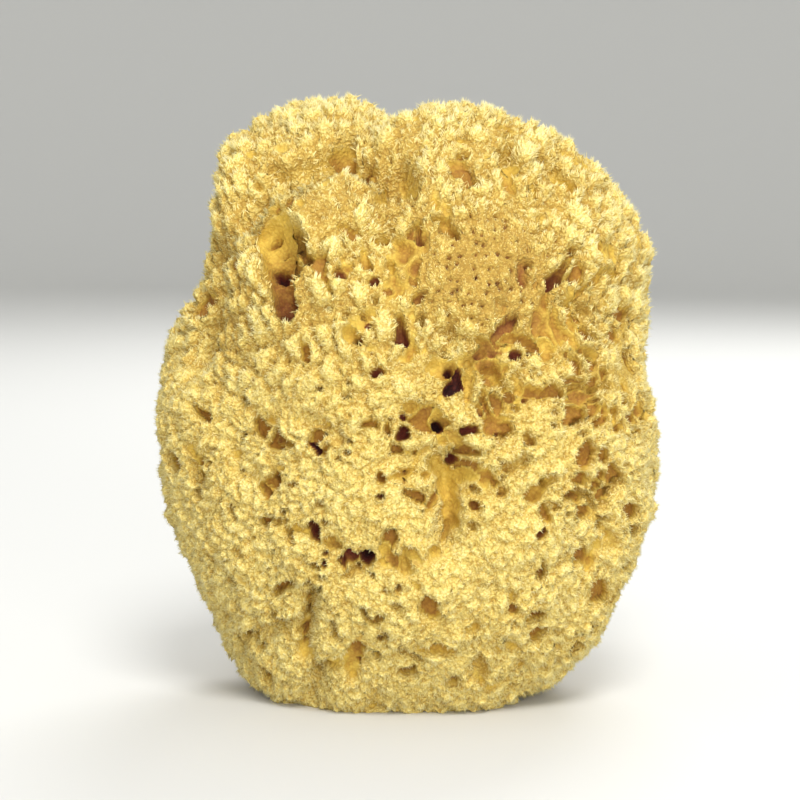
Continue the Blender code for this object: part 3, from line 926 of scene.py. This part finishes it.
def comb(points):
    """Hollows and crests. A hollow begins where the waves rise above a limit, the lower the larger
    open_share is. From there it is full over COMB_WALL, and deeper and darker up to COMB_DEEPEST. A round
    canal lies in a cell whose number is above 1 - CELL_SHARE of open_share, where the nearest scattered
    point is nearer than the second by more than CELL_CREST. Valleys lie where another pattern is near 0.
    The deepest of the three holds. Gives how hollow each point is, 0 to 1, its depth and its darkness,
    as painted shade."""
    turned = bent(points, COMB_BEND)
    upright = (COMB_STRETCH - 1) * smooth(points[:, 2], *COMB_STRETCH_FROM)
    turned[:, 2] = turned[:, 2] - (turned[:, 2] - COMB_STRETCH_FROM[0]) * upright / COMB_STRETCH
    share = open_share(points)
    value = sum(rough(turned, size, seed) * strength for size, strength, seed in COMB_WAVES)
    above = value - between(COMB_LIMITS, share)
    hollow = smooth(above, 0.0, COMB_WALL)
    deep = smooth(above, 0.0, COMB_DEEPEST) * between(COMB_DEEP, share)
    depth = between(COMB_DEPTH, deep)
    # Painted shade: the deeper hollows are coloured darker.
    dark = between(COMB_DARK, deep)
    nearest, second, _, number = scattered(turned, CELL_SIZE, CELL_SEED)
    cell = smooth(second - nearest, CELL_CREST, CELL_CREST + CELL_WALL)
    shut = 1 - CELL_SHARE * share
    cell = cell * smooth(number, shut, shut + CELL_EDGE)
    valley = 1 - smooth(np.abs(rough(turned, VALLEY_SIZE, VALLEY_SEED)), *VALLEY_WIDTH)
    unbroken = smooth(rough(points, *VALLEY_BREAK), *VALLEY_ENDS)
    valley = valley * smooth(share, *VALLEY_SHARE) * unbroken
    others = ((cell, CELL_DEPTH, CELL_DARK), (valley, VALLEY_DEPTH, VALLEY_DARK))
    for other, other_depth, other_dark in others:
        deeper = other * other_depth > hollow * depth
        hollow = np.where(deeper, other, hollow)
        depth = np.where(deeper, other_depth, depth)
        dark = np.where(deeper, other_dark, dark)
    return hollow, depth, dark * hollow


def seen_at(plain, surface, line, half_width, depth):
    """An opening's line on the plain form. Its pixels are looked up on the surface, moved in as far as
    LOOK_AT of what can be seen of the opening's depth."""
    seen = LOOK_AT * min(depth, SEEN_DEEP * half_width)
    return on_front(plain, surface + pocket_axis(plain) * seen, line)


def round_opening(middle, half_width, depth, dark):
    return [middle, middle], (half_width, half_width), depth, (dark, dark)


def seeded_openings(canals, kind, least_dark):
    """Seeded canals of a kind as openings, the darker the deeper they are, as painted shade."""
    *_, (least, most) = kind
    openings = []
    for middle, half_width, depth in canals:
        dark = least_dark + SEEDED_DARKER * (depth - least) / (most - least)
        openings.append(round_opening(middle, half_width, depth, dark))
    return openings


def front_basins(plain, form):
    return [
        (seen_at(plain, form, line, half_widths[0], depth), half_widths, depth, darkness)
        for line, half_widths, depth, darkness in BASINS
    ]


def front_holes(plain, sunken):
    """The front's holes, whose places are looked up on the form with its basins."""
    return [
        round_opening(seen_at(plain, sunken, [(x, y)], half_width, depth)[0], half_width, depth, dark)
        for x, y, half_width, depth, dark in HOLES
    ]


def fit_to_solid(points):
    """How far to move the form sideways so that it stands in the middle of the solid's box."""
    low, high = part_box("sponge")
    solid = (np.array(low) + np.array(high)) / 2 / MM
    above = points[points[:, 2] > 0]
    return (solid - (above.min(axis=0) + above.max(axis=0)) / 2) * (1, 1, 0)


class Value:
    """A node's output, so that shader maths can be written as Python expressions."""

    def __init__(self, nodes, socket):
        self.nodes = nodes
        self.socket = socket

    def maths(self, operation, first, second):
        return self.nodes.make("ShaderNodeMath", {"operation": operation}, {0: first, 1: second})

    def __add__(self, other):
        return self.maths("ADD", self, other)

    __radd__ = __add__

    def __sub__(self, other):
        return self.maths("SUBTRACT", self, other)

    def __rsub__(self, other):
        return self.maths("SUBTRACT", other, self)

    def __mul__(self, other):
        return self.maths("MULTIPLY", self, other)

    __rmul__ = __mul__


class Nodes:
    """The node tree of one material."""

    def __init__(self, name):
        self.material = bpy.data.materials.new(name)
        self.material.use_nodes = True
        self.tree = self.material.node_tree
        self.shader = self.tree.nodes["Principled BSDF"]

    def put(self, socket, value):
        if isinstance(value, Value):
            self.tree.links.new(value.socket, socket)
        else:
            socket.default_value = value

    def make(self, kind, settings=None, inputs=None, output=0):
        """A node of a kind, its settings first, then the values or links of its sockets."""
        node = self.tree.nodes.new(kind)
        for name, value in (settings or {}).items():
            if name == "stops":
                ramp = node.color_ramp
                while len(ramp.elements) < len(value):
                    ramp.elements.new(1.0)
                for element, (position, colour) in zip(ramp.elements, value):
                    element.position = position
                    element.color = linear(colour)
            else:
                setattr(node, name, value)
        for name, value in (inputs or {}).items():
            self.put(node.inputs[name], value)
        return Value(self, node.outputs[output])

    def mix(self, factor, first, second):
        """A colour mix of two colours or links."""
        return self.make(
            "ShaderNodeMix",
            {"data_type": "RGBA"},
            {0: factor, 6: first, 7: second},
            output=2,
        )

    def set(self, **values):
        for name, value in values.items():
            self.put(self.shader.inputs[name.replace("_", " ")], value)


def linear(colour):
    """A screen colour as the linear colour that shaders use, with full opacity."""
    value = np.array(colour, float)
    low = value / 12.92
    high = ((value + 0.055) / 1.055) ** 2.4
    return (*np.where(value <= 0.04045, low, high), 1.0)


def skin_material():
    """The skin: pale and felted between the openings, with painted shade between its grains, smooth in the
    openings, and darker the deeper they go, as painted shade.
    """
    nodes = Nodes("sponge_skin")
    place = nodes.make("ShaderNodeTexCoord", output=3)
    dark, opened, pore = (
        nodes.make("ShaderNodeAttribute", {"attribute_name": name}, output=2)
        for name in ("dark", "open", "pore")
    )
    mottle, felt = (
        nodes.make("ShaderNodeTexNoise", None, {"Vector": place, "Scale": scale, "Detail": NOISE_DETAIL})
        for scale in (MOTTLE_SCALE, FELT_SCALE)
    )
    wander = nodes.make("ShaderNodeTexNoise", None, {"Vector": place, "Scale": WANDER_SCALE}, output=1)
    bent_place = nodes.make(
        "ShaderNodeVectorMath",
        {"operation": "MULTIPLY_ADD"},
        {0: wander, 1: (GRAIN_BEND, GRAIN_BEND, GRAIN_BEND), 2: place},
    )
    grain = 1 - nodes.make("ShaderNodeTexVoronoi", None, {"Vector": bent_place, "Scale": GRAIN_SCALE})
    # Painted shade: darker the deeper the opening, at the grains' edges and in the pores; the mottle differs
    # at random.
    shade = dark + (mottle - 0.5) * MOTTLE_IN + (0.5 - grain) * GRAIN_IN + pore * PORE_DARK
    # Painted shade lowers the tone between the grains and where the skin is dark; felt and mottle differ at
    # random.
    tone = grain * GRAIN_OUT + felt * FELT_OUT + (mottle - 0.5) * MOTTLE_OUT - dark
    inside = nodes.make("ShaderNodeValToRGB", {"stops": OPENING_STOPS}, {"Fac": shade})
    outside = nodes.make("ShaderNodeValToRGB", {"stops": FELT_STOPS}, {"Fac": tone})
    shown = nodes.mix(pore, nodes.mix(opened, outside, inside), inside)
    nodes.set(Base_Color=shown, Roughness=SKIN_ROUGHNESS)
    height = (grain + felt * FELT_RISE) * (1 - opened * FLATTER_IN)
    relief = {"Height": height, "Strength": BUMP_STRENGTH, "Distance": BUMP_DEPTH}
    nodes.set(Normal=nodes.make("ShaderNodeBump", None, relief))
    return nodes.material


def fibre_material():
    """The fibres: deeper at the root, as painted shade down in the pile, and paler at the tip, each in a tone
    of its own.
    """
    nodes = Nodes("sponge_fibre")
    sheet = nodes.make("ShaderNodeUVMap", {"uv_map": "OFBake"})
    parts = nodes.make("ShaderNodeSeparateXYZ", None, {"Vector": sheet})
    along = Value(nodes, parts.socket.node.outputs["Y"])
    # Painted shade: the root's colour is deeper, as down in the pile.
    root = nodes.make("ShaderNodeValToRGB", {"stops": ROOT_STOPS}, {"Fac": parts})
    tip = nodes.make("ShaderNodeValToRGB", {"stops": TIP_STOPS}, {"Fac": parts})
    nodes.set(Base_Color=nodes.mix(along, root, tip), Roughness=FIBRE_ROUGHNESS)
    return nodes.material


def fibres_on(points, squares, normals, opened, carried, drift, chance):
    """The places of the fibres, quarter by quarter. Roots are drawn evenly over the squares, kept off the
    openings, the foot and the small pores. Gives for each quarter which one it is, then its fibres' roots
    and normals, the slopes of the skin, the room above it, its darkness, which is painted shade, and how flat
    it is."""
    corners = points[squares]
    across = np.cross(corners[:, 2] - corners[:, 0], corners[:, 3] - corners[:, 1])
    closed = 1 - opened[squares].mean(axis=1)
    weight = np.linalg.norm(across, axis=1) * smooth(closed, *CLOSED_FROM)
    weight = weight * (corners[:, :, 2].min(axis=1) > FOOT_BELOW)
    middle = corners.mean(axis=1)
    quarters = []
    for left in (True, False):
        for front in (True, False):
            ours = ((middle[:, 0] < drift[0]) == left) & ((middle[:, 1] < drift[1]) == front)
            share = weight * ours
            count = FIBRES[0] if front else FIBRES[1]
            square = chance.choice(len(squares), int(count * SPARE), p=share / share.sum())
            p, q = chance.random((2, len(square), 1))
            blend = [(1 - p) * (1 - q), p * (1 - q), p * q, (1 - p) * q]
            root = sum(w * points[squares[square, k]] for k, w in enumerate(blend))
            normal = unit(sum(w * normals[squares[square, k]] for k, w in enumerate(blend)))
            values = sum(w * carried[squares[square, k]] for k, w in enumerate(blend))
            pore = pores(root)[0]
            kept = np.flatnonzero(pore > PORE_HALF_WIDTH)[:count]
            above, dark, flat, *slope = values[kept].T
            place = root[kept], normal[kept], np.stack(slope, axis=1), above
            quarters.append(((left, front), place, dark, flat))
    return quarters


def grow(name, place, dark, flat, wider, chance):
    """Builds one quarter's fibres, pointed and three-sided. A tip is its root, plus its length along the
    normal leant upwards near the top, downwards at the foot and away from a pore, plus a part of the way to
    the middle of its tuft. None rises further than `above`, the distance from its root to the solid's
    surface. They are shorter where the place is dark, and more amber there as painted shade, and shorter and
    finer where it is flat. Away from a tuft's middle they are darker, which is painted shade between tufts.
    They are shaded partly as the skin under them, as a pile is that lets light through."""
    root, normal, slope, above = place
    height = root[:, 2]
    top = smooth(height, *TOP_FROM)
    fine = top - flat + chance.uniform(-TUFT_MIX, TUFT_MIX, len(root)) < 0.5
    size = np.where(fine, *TUFT_SIZE)
    tufts = [scattered(root, width, TUFT_SEED + k) for k, width in enumerate(TUFT_SIZE)]
    distance = np.where(fine, tufts[0][0], tufts[1][0]) / size
    way = np.where(fine[:, None], tufts[0][2], tufts[1][2])
    number = np.where(fine, tufts[0][3], tufts[1][3])
    pore, pore_way = pores(root)
    way = way - normal * np.sum(way * normal, axis=1, keepdims=True)
    upper = smooth(height, *UPWARD_FROM)
    up = UPWARD * upper * (1 - np.clip(normal[:, 2], 0, 1))
    down = DOWNWARD * (1 - smooth(height, *DOWNWARD_FROM))
    pointing = unit(normal + slope * SLOPE_LEAN)
    lean = pointing + (up - down)[:, None] * np.array([0.0, 0.0, 1.0])
    aside = PORE_LEAN * (1 - smooth(pore / PORE_HALF_WIDTH, 1.0, PORE_LEAN_TO))
    lean = lean - unit(pore_way) * aside[:, None]
    jitter = between(JITTER, top)
    lean = unit(lean + chance.normal(0, 1, (len(root), 3)) * jitter[:, None])
    length = between(FIBRE_LENGTH, smooth(height, *LENGTH_FROM)) * between(TUFT_HEIGHT, number)
    length = length * (1 - SHORT_BETWEEN * np.clip(distance, 0, 1))
    length = length * chance.uniform(*LENGTH_SPREAD, len(root))
    length = length * (1 - SHORT_IN_DARK * np.minimum(dark / SHORT_FROM, 1)) * (1 - SHORT_IN_TINT * flat)
    draw = np.where(fine, *TUFT_DRAW)
    reach = lean * length[:, None] + way * draw[:, None]
    rise = np.maximum(np.sum(reach * normal, axis=1), 1e-6)
    tip = root + reach * np.minimum(1, above / rise)[:, None]
    side = unit(np.cross(lean, unit(chance.normal(size=(len(root), 3)))))
    other = np.cross(lean, side)
    width = chance.uniform(*FIBRE_HALF_WIDTH, len(root)) * wider * (1 + TOP_WIDER * upper)
    below = root - pointing * ROOT_BELOW
    around = [
        math.cos(turn) * side + math.sin(turn) * other for turn in np.arange(SIDES) * 2 * math.pi / SIDES
    ]
    points = np.stack([*(below + way_out * width[:, None] for way_out in around), tip], axis=1).reshape(-1, 3)
    points[:, 2] = np.maximum(points[:, 2], LEAST_HEIGHT)
    facing = np.stack([*around, lean], axis=1) + pointing[:, None] * SOFT_SHADING
    start = np.arange(len(root))[:, None, None] * (SIDES + 1)
    faces = (start + FIBRE_FACES).reshape(-1, 3)
    # Painted shade lowers the tone away from a tuft's middle and where the skin is dark.
    tone = TONE + TUFT_TONES * number - TUFT_SHADE * distance + chance.normal(0, TONE_SPREAD, len(root))
    tone = np.clip(tone - FIBRE_PAINTED_SHADE * dark, *TONE_ENDS)
    across = tone[:, None, None] + np.tile(FIBRE_ACROSS, (SIDES + 1, 1))
    along = np.broadcast_to(FIBRE_ALONG, (len(root), SIDES + 1, 3))
    corner_uv = np.stack([across, along], axis=-1).reshape(-1, 2)
    return make_mesh(name, points, [faces], corner_uv, unit(facing.reshape(-1, 3)))


def add_floor():
    """The floor, and the wall that it curves up into far off: a profile turned round Z, seen from inside."""
    bend = np.linspace(0, math.pi / 2, FLOOR_STEPS)
    away = np.concatenate([[FLOOR_RADIUS / 2], FLOOR_RADIUS + FLOOR_BEND * np.sin(bend)])
    height = np.concatenate([[0.0], FLOOR_BEND * (1 - np.cos(bend))])
    away = np.append(away, away[-1])
    height = np.append(height, height[-1] + FLOOR_WALL)
    turn = np.arange(FLOOR_SIDES) * 2 * math.pi / FLOOR_SIDES
    rings = np.stack(
        [
            np.outer(away, np.cos(turn)),
            np.outer(away, np.sin(turn)),
            np.repeat(height[:, None], FLOOR_SIDES, axis=1),
        ],
        axis=-1,
    )
    number = np.arange(len(away) * FLOOR_SIDES).reshape(len(away), FLOOR_SIDES)
    following = np.roll(number, -1, axis=1)
    quads = np.stack([number[:-1], number[1:], following[1:], following[:-1]], axis=-1).reshape(-1, 4)
    hub = np.full(FLOOR_SIDES, number.size)
    fan = np.stack([hub, number[0], following[0]], axis=1)
    points = np.concatenate([rings.reshape(-1, 3), np.zeros((1, 3))])
    floor = make_mesh("floor", points, [quads, fan], np.zeros((quads.size + fan.size, 2)))
    floor.data.polygons.foreach_set("use_smooth", np.ones(len(floor.data.polygons), bool))
    nodes = Nodes("pale_floor")
    nodes.set(Base_Color=linear(FLOOR), Roughness=FLOOR_ROUGHNESS)
    floor.data.materials.append(nodes.material)


def add_light(name, place, target, size, power):
    data = bpy.data.lights.new(name, "AREA")
    data.shape = "DISK"
    data.size = size
    data.energy = power
    light = bpy.data.objects.new(name, data)
    way = np.array(target) - np.array(place)
    light.location = place
    light.rotation_mode = "QUATERNION"
    light.rotation_quaternion = Vector(way).to_track_quat("-Z", "Y")
    bpy.context.collection.objects.link(light)


def add_camera(drift):
    """The photograph's view: EYE_RISE above the form's middle, with PIXEL at EYE_DISTANCE."""
    data = bpy.data.cameras.new("camera")
    data.sensor_width = SENSOR
    data.lens = SENSOR * EYE_DISTANCE / (PHOTO_SIDE * PIXEL)
    data.shift_x = (PHOTO_SIDE / 2 - PHOTO_MIDDLE[0]) / PHOTO_SIDE
    data.shift_y = (PHOTO_MIDDLE[1] - PHOTO_SIDE / 2) / PHOTO_SIDE
    camera = bpy.data.objects.new("camera", data)
    target = (drift + (0, 0, MIDDLE_HEIGHT)) * MM
    back = np.array([0, -math.cos(EYE_RISE), math.sin(EYE_RISE)]) * EYE_DISTANCE * MM
    camera.location = target + back
    camera.rotation_mode = "QUATERNION"
    camera.rotation_quaternion = Vector(-back).to_track_quat("-Z", "Y")
    bpy.context.collection.objects.link(camera)
    bpy.context.scene.camera = camera


def set_world(colour, strength):
    world = bpy.data.worlds.new("studio")
    world.use_nodes = True
    background = world.node_tree.nodes["Background"]
    background.inputs["Color"].default_value = linear(colour)
    background.inputs["Strength"].default_value = strength
    bpy.context.scene.world = world


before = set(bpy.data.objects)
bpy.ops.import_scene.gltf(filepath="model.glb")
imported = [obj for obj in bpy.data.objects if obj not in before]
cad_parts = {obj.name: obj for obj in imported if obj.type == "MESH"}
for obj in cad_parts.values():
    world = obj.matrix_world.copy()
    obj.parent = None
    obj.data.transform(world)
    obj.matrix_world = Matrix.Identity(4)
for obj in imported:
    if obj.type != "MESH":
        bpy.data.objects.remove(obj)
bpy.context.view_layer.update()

# The form, and the openings in it
cube, squares, sheet = cube_grid()
plain, form = solid_form(sphere_directions(cube))
drift = fit_to_solid(form)
sphere = sphere_places()
larger = seeded_canals(sphere, [], LARGER)
smaller = seeded_canals(sphere, larger, SMALLER)
basins = front_basins(plain, form) + seeded_openings(larger, LARGER, LARGER_DARK)
basin_move, basin_dark, basin_open = sink(plain, basins, BASIN_WANDER)
holes = front_holes(plain, form + basin_move) + seeded_openings(smaller, SMALLER, SMALLER_DARK)
hole_move, hole_dark, hole_open = sink(plain, holes, HOLE_WANDER)
opened = np.maximum(basin_open, hole_open)
hollow, comb_depth, comb_dark = comb(plain)
hollow = hollow * (1 - opened)
lumps = sum(rough(plain, size, seed) * rise for size, rise, seed in LUMPS)
clump_depth, clump_dark = clumps(plain)
amber = tint(form)
flat = np.clip(amber / TINTS[0][4], 0, 1)

# The skin, the small pores in it, how dark it is, as painted shade, and how bare it is
parted = (1 - np.maximum(opened, hollow)) * (1 - FLAT_CLUMPS * flat)
down = SKIN_BELOW - lumps * (1 - opened) + clump_depth * parted
hollow_move = pocket_axis(plain) * (hollow * comb_depth)[:, None]
skin = form + inward(plain) * down[:, None] + hollow_move + basin_move + hole_move + drift
# The pores are sunk, and in them the skin shows painted shade.
in_pore = (1 - smooth(pores(skin)[0] / PORE_HALF_WIDTH, *PORE_EDGE)) * (1 - opened) * (1 - hollow)
in_pore = in_pore * between((PORE_ELSEWHERE, 1), flat)
skin = skin + inward(plain) * (in_pore * PORE_DEPTH)[:, None]
skin[:, 2] = np.maximum(skin[:, 2], 0.0)
# Painted shade along the creases.
crease = np.zeros(len(plain))
for line, half_width, _ in FRONT_CREASES:
    away = along_line(plain, on_front(plain, plain, line))[0]
    crease = np.maximum(crease, np.exp(-((away / half_width * CREASE_NARROW) ** 2)))
# Painted shade: darkness from the depth of the openings and hollows, the creases and the clump partings.
dark = np.maximum(np.maximum(basin_dark, hole_dark), hollow * comb_dark)
dark = np.maximum(dark, crease * CREASE_DARK)
dark = np.maximum(dark, clump_dark * (1 - opened) * (1 - FLAT_PARTINGS * flat)) + amber * (1 - opened)
bare = np.maximum(opened, smooth(hollow * comb_depth, *BARE_HOLLOW))
outer_normals = normals_of(form, squares)
skin_normals = normals_of(skin, squares)
room = np.maximum(np.sum((form + drift - skin) * outer_normals, axis=1), 0)
carried = np.column_stack([room, dark, flat, skin_normals])

skin_look = skin_material()
for front in (True, False):
    name = "sponge_skin_" + ("front" if front else "back")
    body, kept = half_skin(name, front, cube, squares, sheet, skin, skin_normals)
    for attribute, values in (("dark", dark), ("open", bare), ("pore", in_pore)):
        add_attribute(body, attribute, np.append(values, 0.0)[kept])
    body.data.materials.append(skin_look)
    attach(body, "root")
    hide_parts("sponge")

chance = np.random.default_rng(FIBRE_SEED)
fibre_look = fibre_material()
quarters = fibres_on(skin, squares, outer_normals, bare, carried, drift, chance)
for (left, front), place, shade, flatness in quarters:
    name = "fibres_" + ("front" if front else "back") + ("_left" if left else "_right")
    fibres = grow(name, place, shade, flatness, 1.0 if front else BACK_WIDER, chance)
    fibres.data.materials.append(fibre_look)
    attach(fibres, "root")

add_floor()
for light in LIGHTS:
    add_light(*light)
set_world(*WORLD)
bpy.context.scene.view_settings.view_transform = "Standard"
add_camera(drift)
